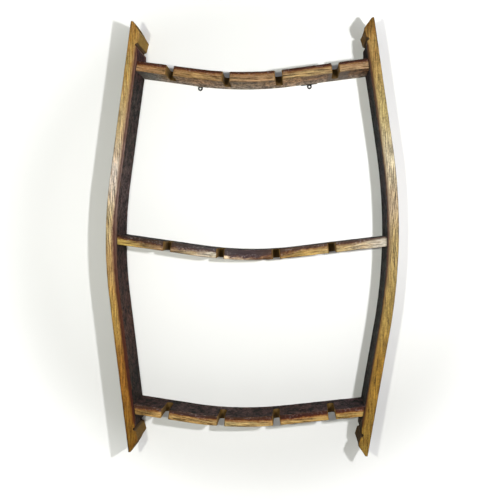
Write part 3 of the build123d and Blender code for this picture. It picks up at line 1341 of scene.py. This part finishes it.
@dataclass(frozen=True)
class SideStave(Piece):
    """One upright stave.

    Attributes:
        side: -1 on the left and 1 on the right.
    """

    side: int
    chord = STAVE_LENGTH / 2
    front = STAVE_WIDTH
    lift = 0.0
    runs = -1

    @property
    def middle(self) -> float:
        """The height of the bow's middle."""
        return MIDDLE + self.side * STAGGER / 2

    def outer_x(self, z: float) -> float:
        """Where the outer face is at a height."""
        return self.side * (RACK_WIDTH / 2 - self.bow.fall(z - self.middle))

    def is_arris(self, first: Vector, last: Vector) -> bool:
        """Tell whether an edge of the blank is one of its long arrises.

        Args:
            first: The edge's first end.
            last: Its last end.

        Returns:
            True for the arrises of the inner and the outer face.
        """
        level = abs(first.z - last.z) < TOUCH and min(first.z, STAVE_WIDTH - first.z) < TOUCH
        inner, outer = min(first.y, last.y) > 2 * MM, max(first.y, last.y) < MM
        return level and (inner or outer)

    def blank(self) -> bpy.types.Object:
        """Model the straight stave with its bevelled tips, croze grooves and howels.

        Returns:
            The blank.
        """
        span = self.span
        high = (span, STAVE_THICKNESS, STAVE_WIDTH)
        cuts = self.finish.ends.cuts()
        piece = block(f"{self.node}_oak", (0.0, 0.0, 0.0), high)
        stations = [place for place, _ in cuts[1:]]
        slice_at(piece, 0, [*stations, *(span - place for place in stations)])
        for place, depth in cuts:
            for here in (place, span - place):
                shift_where(
                    piece,
                    lambda co, here=here: abs(co.x - here) < TOUCH and co.y > STAVE_THICKNESS / 2,
                    (0.0, depth - STAVE_THICKNESS, 0.0),
                )
        round_edges(piece, self.is_arris, ARRIS, ARRIS_ROWS)
        slice_at(piece, 0, ladder(0.0, span, GRID_ALONG))
        slice_at(piece, 2, ladder(0.0, STAVE_WIDTH, GRID_ACROSS))
        slice_at(piece, 1, ladder(0.0, STAVE_THICKNESS, GRID_ACROSS))
        return piece

    def place(self, chord: float, rise: float) -> Vector:
        """Find where a point of the outer face's line lies, with the hollow side on its left."""
        return Vector((self.side * (RACK_WIDTH / 2 - rise), self.middle + self.side * chord, 0.0))

    def section(self, spot: Vector) -> tuple[float, float]:
        """Find a point's place along the chord and its rise on the hollow side."""
        return spot.z - self.middle, RACK_WIDTH / 2 - self.side * spot.x

    def bearing(self, way: Vector) -> tuple[float, float]:
        """Split a direction into its parts along the chord and to the hollow side."""
        return way.z, -self.side * way.x

    def fit(self, piece: bpy.types.Object) -> None:
        """Sink the six joint screws' heads into the outer face.

        Args:
            piece: The bent stave.
        """
        cutters = []
        for rail in RAILS:
            spot, outward = rail.entry(self)
            for row in SCREW_ROWS:
                cutters.append(countersink(Vector((spot.x, -row, spot.z)), outward))
        cut_out(piece, cutters)


@dataclass(frozen=True)
class Rail(Piece):
    """One rail: a stave lying with its charred face up and sagging, with slots for glass stems.

    Attributes:
        crown: The height of the upper face's lowest place.
        bend_shift: How far that place is right of the rack's middle.
        strays: How far each slot is right of its place in an even row.
    """

    crown: float
    bend_shift: float
    strays: tuple[float, ...]
    chord = RAIL_REACH
    front = RAIL_FRONT
    lift = RAIL_THICKNESS
    runs = 1

    def height(self, x: float, depth: float = 0.0) -> float:
        """Find how high the rail is.

        Args:
            x: The place from left to right.
            depth: How deep below the upper face.

        Returns:
            The height.
        """
        below = Bow(self.bow.lean, self.bow.radius + depth)
        return self.crown - depth + below.fall(x - self.bend_shift)

    def entry(self, stave: SideStave) -> tuple[Vector, Vector]:
        """Find where the rail's middle line comes out of a stave.

        Args:
            stave: The stave.

        Returns:
            The point on the outer face, and the way the line points there.
        """
        x = stave.side * RACK_WIDTH / 2
        for _ in range(SEEK_ROUNDS):
            x = stave.outer_x(self.height(x, RAIL_THICKNESS / 2))
        lean = radians(RAIL_LEAN)
        outward = Vector((stave.side * cos(lean), 0.0, sin(lean)))
        return Vector((x, 0.0, self.height(x, RAIL_THICKNESS / 2))), outward

    def slots(self) -> list[float]:
        """Find the slots' middles.

        Returns:
            Their places along the straight rail.
        """
        first = (1 - len(self.strays)) / 2
        spots = [(first + place) * SLOT_PITCH + stray for place, stray in enumerate(self.strays)]
        chords = [spot - self.bend_shift for spot in spots]
        return [self.span / 2 + self.bow.length(chord) for chord in chords]

    def slot_tools(self) -> list[bpy.types.Object]:
        """Model the tool that cuts a slot with a round end, and copy it to every slot.

        Returns:
            The tools.
        """
        high = (SLOT_WIDTH, RAIL_THICKNESS, SLOT_TOOL_TOP)
        first = block("slot", (0, -2 * RAIL_THICKNESS, SLOT_END), high)

        def at_end(a: Vector, b: Vector) -> bool:
            """Tell whether an edge is an upright one at the slot's closed end."""
            return abs(a.y - b.y) > MM and max(a.z, b.z) < SLOT_END + MM

        round_edges(first, at_end, SLOT_ROUND, SLOT_ROUND_ROWS)
        cutters = []
        for place in self.slots():
            cutter = first.copy()
            cutter.data = first.data.copy()
            bpy.context.collection.objects.link(cutter)
            cutter.location.x = place - SLOT_WIDTH / 2
            cutters.append(cutter)
        discard(first)
        return cutters

    def blank(self) -> bpy.types.Object:
        """Model the straight rail with its four round-ended slots.

        Returns:
            The blank.
        """
        low, high = (0.0, -RAIL_THICKNESS, RAIL_BACK), (self.span, 0.0, RAIL_FRONT)
        piece = block(f"{self.node}_oak", low, high)
        cut_out(piece, self.slot_tools())
        sides = [place + step * SLOT_WIDTH / 2 for place in self.slots() for step in (-1, 1)]

        def at_mouth(a: Vector, b: Vector) -> bool:
            """Tell whether an edge is an upright one at a slot's mouth."""
            front = abs(a.y - b.y) > MM and a.z > RAIL_FRONT - TOUCH
            return front and min(abs(a.x - side) for side in sides) < TOUCH

        round_edges(piece, at_mouth, SLOT_MOUTH, SLOT_MOUTH_ROWS)
        arris = {"width": RAIL_ARRIS, "segments": ARRIS_ROWS}
        apply(piece, "BEVEL", **arris, limit_method="ANGLE", angle_limit=radians(SHARP_ANGLE))
        slice_at(piece, 0, ladder(0.0, self.span, GRID_ALONG))
        slice_at(piece, 2, ladder(RAIL_BACK, RAIL_FRONT, GRID_ACROSS))
        slice_at(piece, 1, ladder(-RAIL_THICKNESS, 0.0, GRID_ACROSS))
        return piece

    def place(self, chord: float, rise: float) -> Vector:
        """Find where a point of the upper face's line lies."""
        return Vector((self.bend_shift + chord, self.crown + rise, 0.0))

    def section(self, spot: Vector) -> tuple[float, float]:
        """Find a point's place along the chord and its rise on the hollow side."""
        return spot.x - self.bend_shift, spot.z - self.crown

    def bearing(self, way: Vector) -> tuple[float, float]:
        """Split a direction into its parts along the chord and to the hollow side."""
        return way.x, way.z

    def fit(self, piece: bpy.types.Object) -> None:
        """Cut both ends to the staves' inner faces.

        Args:
            piece: The bent rail.
        """
        only(piece)
        bpy.ops.object.mode_set(mode="EDIT")
        for stave in STAVES:
            x = stave.side * (RACK_WIDTH / 2 - STAVE_THICKNESS)
            z = self.height(x, RAIL_THICKNESS / 2)
            turn = stave.bow.unbend(z - stave.middle, 0.0)[2]
            outward = Vector((stave.side * cos(turn), 0.0, sin(turn)))
            face = Vector((stave.outer_x(z), 0.0, z)) - outward * (STAVE_THICKNESS - RAIL_BITE)
            bpy.ops.mesh.select_all(action="SELECT")
            bpy.ops.mesh.bisect(plane_co=face, plane_no=outward, use_fill=True, clear_outer=True)
        bpy.ops.object.mode_set(mode="OBJECT")


def countersink(spot: Vector, outward: Vector) -> bpy.types.Object:
    """Model the tool that sinks one screw head below the face.

    Args:
        spot: Where the screw comes out of the face.
        outward: The way the screw's head faces.

    Returns:
        The tool, in place.
    """
    bpy.ops.object.select_all(action="DESELECT")
    size = {"radius": SCREW_HEAD, "depth": SINK_TOOL, "vertices": SINK_SIDES}
    bpy.ops.mesh.primitive_cylinder_add(**size)
    tool = bpy.context.object
    mesh = tool.data
    for vertex in mesh.vertices:
        vertex.select = vertex.co.z < 0
        vertex.co.z += SINK_TOOL / 2 - SCREW_SINK - SINK_ROOM
    for edge in mesh.edges:
        edge.select = all(mesh.vertices[end].select for end in edge.vertices)
    for face in mesh.polygons:
        face.select = face.normal.z < FACES_DOWN
    bpy.ops.object.mode_set(mode="EDIT")
    bpy.ops.mesh.select_mode(type="FACE")
    down = {"value": (0.0, 0.0, -SINK_CONE)}
    bpy.ops.mesh.extrude_region_move(TRANSFORM_OT_translate=down)
    bpy.ops.transform.resize(value=(SINK_TAPER, SINK_TAPER, 1.0))
    bpy.ops.object.mode_set(mode="OBJECT")
    turn = outward.to_track_quat("Z", "Y").to_matrix().to_4x4()
    tool.matrix_world = Matrix.Translation(spot) @ turn
    settle(tool)
    return tool


STAVE_OUTER = shades(
    (0.0, 152, 132, 106), (0.3, 174, 152, 124), (0.6, 166, 145, 116), (1.0, 142, 122, 98)
)
STAVE_HOOPS = ((0.024, 0.04), (0.17, 0.034), (0.31, 0.036), (0.69, 0.036), (0.83, 0.034), (0.976, 0.04))

LEFT_BOW = Bow(7.4, 1.000)
RIGHT_BOW = Bow(9.1, 1.250)
RAIL_BOW = Bow(RAIL_LEAN, RAIL_RADIUS)

LEFT_OAK = Oak(
    name="left_stave_oak",
    start=0.0,
    span=2 * LEFT_BOW.length(STAVE_LENGTH / 2),
    thickness=STAVE_THICKNESS,
    # The pale stops near places 0.3 to 0.46, here and in halo and wine, are a painted sheen: a broad
    # reflection of the lights.
    edge=shades(
        (0.0, 172, 132, 68), (0.12, 188, 158, 96), (0.24, 200, 176, 130), (0.36, 224, 210, 196),
        (0.46, 214, 190, 142), (0.55, 184, 150, 98), (0.68, 194, 158, 86), (0.80, 164, 114, 52),
        (1.0, 128, 94, 42),
    ),
    halo=shades(
        (0.1, 165, 124, 88), (0.3, 174, 140, 118), (0.42, 172, 145, 128), (0.52, 140, 100, 80),
        (0.65, 138, 96, 60), (0.8, 116, 72, 36), (1.0, 112, 70, 30),
    ),
    wine=shades(
        (0.0, 120, 86, 72), (0.2, 126, 96, 86), (0.36, 142, 120, 114), (0.5, 106, 78, 68),
        (0.64, 86, 50, 38), (0.9, 66, 36, 26),
    ),
    soak=(
        (0.045, 0.0), (0.06, 0.26), (0.2, 0.25), (0.38, 0.22), (0.47, 0.36), (0.56, 0.29), (0.66, 0.32),
        (0.8, 0.30), (0.93, 0.20), (0.945, 0.0),
    ),
    inner=shades(
        (0.08, 84, 48, 48), (0.14, 66, 60, 58), (0.25, 74, 64, 60), (0.38, 92, 78, 76),
        (0.52, 68, 54, 50), (0.7, 86, 64, 56), (0.85, 60, 52, 48), (0.95, 52, 44, 36),
    ),
    outer=STAVE_OUTER,
    chime=shades((0.0, 178, 142, 76), (0.5, 120, 92, 46), (1.0, 136, 106, 60)),
    hoops=STAVE_HOOPS,
    fold=0.50,
    slant=0.13,
    seed=3.1,
    # The zone of the painted sheen.
    worn=((0.24, 0.0), (0.34, 1.0), (0.44, 1.0), (0.50, 0.2), (0.6, 0.0)),
    ends=Chime(bevel=0.025, croze=0.045),
    burn=0.7,
    sooty=0.004,
    grainy=1.4,
    gritty=1.1,
    fine=1.1,
    depths=1.12,
    nicks=0.0,
    streaks=0.6,
    reach=0.6,
    speckle=1.3,
    dapple=0.8,
)

RIGHT_OAK = Oak(
    name="right_stave_oak",
    start=0.0,
    span=2 * RIGHT_BOW.length(STAVE_LENGTH / 2),
    thickness=STAVE_THICKNESS,
    # The pale stops near places 0.3 to 0.46, here and in halo and wine, are a painted sheen: a broad
    # reflection of the lights.
    edge=shades(
        (0.0, 124, 90, 42), (0.08, 182, 148, 88), (0.2, 204, 182, 120), (0.32, 212, 198, 166),
        (0.42, 188, 166, 134), (0.52, 186, 160, 104), (0.66, 172, 144, 80), (0.80, 160, 122, 54),
        (1.0, 148, 120, 60),
    ),
    halo=shades(
        (0.1, 150, 114, 66), (0.3, 176, 154, 118), (0.42, 168, 146, 120), (0.52, 146, 118, 84),
        (0.7, 146, 112, 60), (1.0, 124, 86, 34),
    ),
    wine=shades(
        (0.0, 110, 82, 54), (0.2, 110, 84, 64), (0.36, 122, 100, 88), (0.5, 92, 70, 56),
        (0.7, 100, 72, 44), (1.0, 84, 54, 26),
    ),
    soak=(
        (0.045, 0.0), (0.06, 0.18), (0.18, 0.20), (0.3, 0.10), (0.44, 0.16), (0.55, 0.18), (0.64, 0.08),
        (0.85, 0.12), (0.93, 0.16), (0.945, 0.0),
    ),
    inner=shades(
        (0.08, 56, 48, 46), (0.2, 52, 58, 56), (0.38, 64, 64, 68), (0.52, 62, 64, 64),
        (0.7, 58, 62, 58), (0.85, 58, 60, 56), (0.95, 66, 56, 38),
    ),
    outer=STAVE_OUTER,
    chime=shades((0.0, 138, 104, 58), (0.5, 100, 74, 38), (1.0, 90, 68, 38)),
    hoops=STAVE_HOOPS,
    fold=0.47,
    slant=0.15,
    seed=11.7,
    # The zone of the painted sheen.
    worn=((0.24, 0.0), (0.36, 0.8), (0.46, 0.8), (0.6, 0.0)),
    ends=Chime(bevel=0.020, croze=0.0385),
    burn=0.45,
    level=0.60,
    grainy=1.7,
    gritty=1.2,
    fine=1.25,
    depths=1.12,
    nicks=0.0,
    fleck=0.75,
    scorch=0.6,
    amber=0.1,
    rubbed=0.8,
    reach=0.6,
    speckle=1.4,
    dapple=0.8,
)

TOP_OAK = Oak(
    name="top_rail_oak",
    start=0.062,
    span=0.505,
    thickness=RAIL_THICKNESS,
    edge=shades(
        (0.0, 168, 130, 92), (0.3, 156, 126, 84), (0.55, 162, 130, 96), (0.75, 170, 146, 102),
        (1.0, 166, 136, 102),
    ),
    halo=shades(
        (0.0, 138, 86, 46), (0.3, 150, 98, 58), (0.5, 152, 104, 64), (0.75, 142, 92, 54),
        (1.0, 142, 98, 60),
    ),
    wine=shades((0.0, 86, 50, 36), (0.5, 74, 48, 34), (1.0, 62, 38, 34)),
    soak=((0.0, 0.32), (0.3, 0.28), (0.5, 0.25), (0.75, 0.28), (1.0, 0.28)),
    inner=shades((0.0, 62, 50, 46), (0.5, 70, 58, 54), (1.0, 60, 48, 44)),
    outer=shades(
        (0.0, 90, 74, 56), (0.08, 146, 142, 132), (0.16, 140, 112, 80), (0.3, 164, 126, 90),
        (0.5, 142, 118, 90), (0.68, 178, 136, 92), (0.82, 142, 110, 82), (1.0, 136, 100, 70),
    ),
    hoops=((0.06, 0.1), (0.9, 0.09)),
    fold=-0.6,
    slant=0.055,
    seed=23.4,
    ragged=1.4,
    streaks=1.2,
    specks=0.2,
    wash=0.55,
)

MIDDLE_OAK = Oak(
    name="middle_rail_oak",
    start=0.018,
    span=0.590,
    thickness=RAIL_THICKNESS,
    # The pale stops near places 0.34 to 0.44 and at the right end, here and in halo, are painted sheens:
    # broad reflections of the two lights.
    edge=shades(
        (0.0, 194, 166, 90), (0.2, 148, 120, 90), (0.30, 170, 150, 118), (0.34, 200, 184, 164),
        (0.38, 220, 212, 192), (0.44, 236, 210, 176), (0.56, 136, 102, 70), (0.7, 170, 140, 82),
        (0.84, 178, 156, 108), (0.92, 200, 182, 150), (1.0, 186, 178, 164),
    ),
    halo=shades(
        (0.0, 124, 82, 46), (0.2, 124, 90, 62), (0.33, 132, 112, 100), (0.5, 108, 76, 66),
        (0.66, 142, 96, 54), (0.85, 152, 112, 72), (1.0, 164, 150, 130),
    ),
    wine=shades(
        (0.0, 58, 40, 32), (0.2, 82, 62, 52), (0.36, 94, 88, 90), (0.5, 84, 68, 72), (0.66, 94, 70, 54),
        (0.85, 82, 64, 54), (1.0, 72, 62, 58),
    ),
    soak=(
        (0.0, 0.32), (0.12, 0.46), (0.26, 0.54), (0.36, 0.36), (0.46, 0.72), (0.54, 0.80), (0.6, 0.50),
        (0.72, 0.32), (0.88, 0.30), (1.0, 0.18),
    ),
    inner=shades((0.0, 70, 62, 60), (0.5, 82, 78, 78), (1.0, 70, 64, 62)),
    outer=shades((0.0, 150, 122, 92), (0.5, 158, 132, 102), (1.0, 150, 124, 96)),
    hoops=((0.2, 0.06), (0.8, 0.06)),
    fold=-0.5,
    slant=-0.05,
    seed=37.9,
    ragged=2.0,
    depths=0.58,
    specks=0.3,
)

BOTTOM_OAK = Oak(
    name="bottom_rail_oak",
    start=0.062,
    span=0.505,
    thickness=RAIL_THICKNESS,
    edge=shades(
        (0.0, 146, 112, 64), (0.25, 190, 156, 100), (0.5, 168, 146, 100), (0.75, 180, 148, 94),
        (1.0, 168, 140, 84),
    ),
    halo=shades(
        (0.0, 140, 90, 48), (0.3, 142, 92, 50), (0.5, 158, 98, 50), (0.75, 146, 84, 42),
        (1.0, 140, 82, 42),
    ),
    wine=shades(
        (0.0, 88, 58, 40), (0.3, 78, 58, 56), (0.5, 80, 52, 34), (0.75, 68, 36, 32), (1.0, 82, 44, 34),
    ),
    soak=((0.0, 0.42), (0.15, 0.34), (0.35, 0.38), (0.5, 0.32), (0.7, 0.44), (1.0, 0.38)),
    inner=shades((0.0, 64, 48, 46), (0.4, 78, 64, 62), (0.7, 74, 56, 52), (1.0, 72, 58, 60)),
    outer=shades((0.0, 132, 108, 80), (0.5, 140, 116, 88), (1.0, 128, 106, 80)),
    hoops=((0.08, 0.08), (0.92, 0.08)),
    fold=-0.6,
    slant=0.05,
    seed=51.3,
    ragged=1.4,
    specks=0.2,
)

STAVES = (
    SideStave("left_stave", LEFT_BOW, LEFT_OAK, -1),
    SideStave("right_stave", RIGHT_BOW, RIGHT_OAK, 1),
)
RAILS = (
    Rail("top_rail", RAIL_BOW, TOP_OAK, 0.017696, -0.020, (0.0, 0.0025, -0.0045, -0.002)),
    Rail("middle_rail", RAIL_BOW, MIDDLE_OAK, -0.365804, -0.010, (-0.003, -0.006, -0.0055, -0.0045)),
    Rail("bottom_rail", RAIL_BOW, BOTTOM_OAK, -0.730804, -0.030, (-0.0045, -0.0015, -0.001, 0.0)),
)

BLACK_STEEL = Steel(
    name="hanger_black_steel",
    body=linear(12, 12, 13),
    worn=linear(70, 68, 66),
    metal=0.0,
    roughness=0.6,
    wear=0.03,
    gloss=0.12,
)
ZINC = Steel(
    name="joint_screw_zinc",
    body=linear(176, 172, 160),
    worn=linear(214, 212, 204),
    metal=1.0,
    roughness=0.34,
    wear=0.10,
)
BLACK_SCREW = Steel(
    name="hanger_screw_black",
    body=linear(40, 39, 40),
    worn=linear(132, 128, 122),
    metal=0.4,
    roughness=0.38,
    wear=0.08,
)


class Hardware(Enum):
    """The bought parts' finishes, each with the ends of the names of the nodes that wear it."""

    HANGER = (("_hanger",), BLACK_STEEL)
    HANGER_SCREW = (("hanger_inner_screw", "hanger_outer_screw"), BLACK_SCREW)
    JOINT_SCREW = (("_front_screw", "_back_screw"), ZINC)

    def dress(self) -> int:
        """Give the CAD nodes this finish.

        Returns:
            How many nodes wear it.
        """
        endings, finish = self.value
        material = finish.material()
        worn = [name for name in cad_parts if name.endswith(endings)]
        for name in worn:
            body = bpy.data.objects[name].data
            body.materials.clear()
            body.materials.append(material)
        return len(worn)


@dataclass(frozen=True)
class Lamp:
    """A soft square light that points at the rack's middle."""

    name: str
    spot: tuple[float, float, float]
    size: float
    watts: float
    tint: Colour = WHITE
    in_gloss: bool = True

    def hang(self) -> None:
        """Add the light to the scene."""
        data = bpy.data.lights.new(self.name, "AREA")
        data.size = self.size
        data.energy = self.watts
        data.color = self.tint
        lamp = bpy.data.objects.new(self.name, data)
        lamp.location = self.spot
        way = Vector((0.0, 0.0, MIDDLE)) - Vector(self.spot)
        lamp.rotation_euler = way.to_track_quat("-Z", "Y").to_euler()
        lamp.visible_camera = False
        lamp.visible_glossy = self.in_gloss
        bpy.context.collection.objects.link(lamp)


@dataclass(frozen=True)
class Studio:
    """The wall, the floor, the lights and the camera, whose angles are in degrees."""

    lamps: tuple[Lamp, ...] = (
        Lamp("key", (0.58, -1.43, -0.24), 0.06, 18.8, (1.0, 1.0, 1.02)),
        Lamp("second", (-0.32, -1.88, -0.30), 0.08, 15.6, (1.0, 1.015, 0.92)),
        Lamp("behind", (0.0, 2.60, MIDDLE), 1.2, 26.0, in_gloss=False),
    )
    fill: float = 0.17
    width: float = 8.0
    wall_gap: float = 0.0004
    floor: float = -1.35
    eye: tuple[float, float, float] = (0.09796, -1.74871, -0.31835)
    yaw: float = 3.433
    pitch: float = -1.656
    roll: float = 0.587
    lens: float = 55.14
    film: float = 36.0
    clip: tuple[float, float] = (0.01, 100.0)

    def plane(self, name: str, spot: Sequence[float], turn: Sequence[float]) -> None:
        """Lay one side of the stage.

        Args:
            name: The object's name.
            spot: Its middle.
            turn: How it is turned.
        """
        bpy.ops.mesh.primitive_plane_add(size=self.width, location=spot, rotation=turn)
        made = bpy.context.object
        settle(made)
        made.name = name
        made.data.materials.append(Stage(f"{name}_paint").material())

    def camera(self) -> None:
        """Set the camera where the rack is seen from."""
        data = bpy.data.cameras.new("camera")
        data.lens = self.lens
        data.sensor_width = self.film
        data.clip_start, data.clip_end = self.clip
        eye = bpy.data.objects.new("camera", data)
        yaw, pitch, roll = radians(self.yaw), radians(self.pitch), radians(self.roll)
        ahead = Vector((-sin(yaw) * cos(pitch), cos(yaw) * cos(pitch), sin(pitch)))
        right = Vector((cos(yaw), sin(yaw), 0.0))
        up = right.cross(ahead)
        level, upright = right * cos(roll) + up * sin(roll), up * cos(roll) - right * sin(roll)
        turn = Matrix((level, upright, -ahead)).transposed().to_4x4()
        eye.matrix_world = Matrix.Translation(self.eye) @ turn
        bpy.context.collection.objects.link(eye)
        bpy.context.scene.camera = eye

    def world(self) -> None:
        """Light the room evenly, and show it white."""
        made = bpy.data.worlds.new("room")
        made.use_nodes = True
        tree = made.node_tree
        room = tree.nodes["Background"]
        room.inputs["Color"].default_value = (*WHITE, 1.0)
        path = tree.nodes.new("ShaderNodeLightPath")
        level = tree.nodes.new("ShaderNodeMapRange")
        level.inputs["To Min"].default_value = self.fill
        level.inputs["To Max"].default_value = 1.0
        tree.links.new(path.outputs["Is Camera Ray"], level.inputs["Value"])
        tree.links.new(level.outputs["Result"], room.inputs["Strength"])
        bpy.context.scene.world = made

    def build(self) -> None:
        """Set everything up."""
        self.plane("wall", (0.0, self.wall_gap, 0.0), (pi / 2, 0.0, 0.0))
        self.plane("floor", (0.0, -self.width / 2, self.floor), (0.0, 0.0, 0.0))
        for lamp in self.lamps:
            lamp.hang()
        self.world()
        self.camera()
        bpy.context.scene.view_settings.view_transform = "Standard"
        LOG.info("studio: %d lights", len(self.lamps))


def main() -> None:
    """Build the rack's pieces, dress its hardware and set up the studio."""
    logging.basicConfig(level=logging.INFO, format="%(message)s")
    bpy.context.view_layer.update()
    for piece in (*STAVES, *RAILS):
        piece.build()
    for hardware in Hardware:
        LOG.info("%s: %d nodes", hardware.name, hardware.dress())
    Studio().build()


if __name__ == "__main__":
    main()
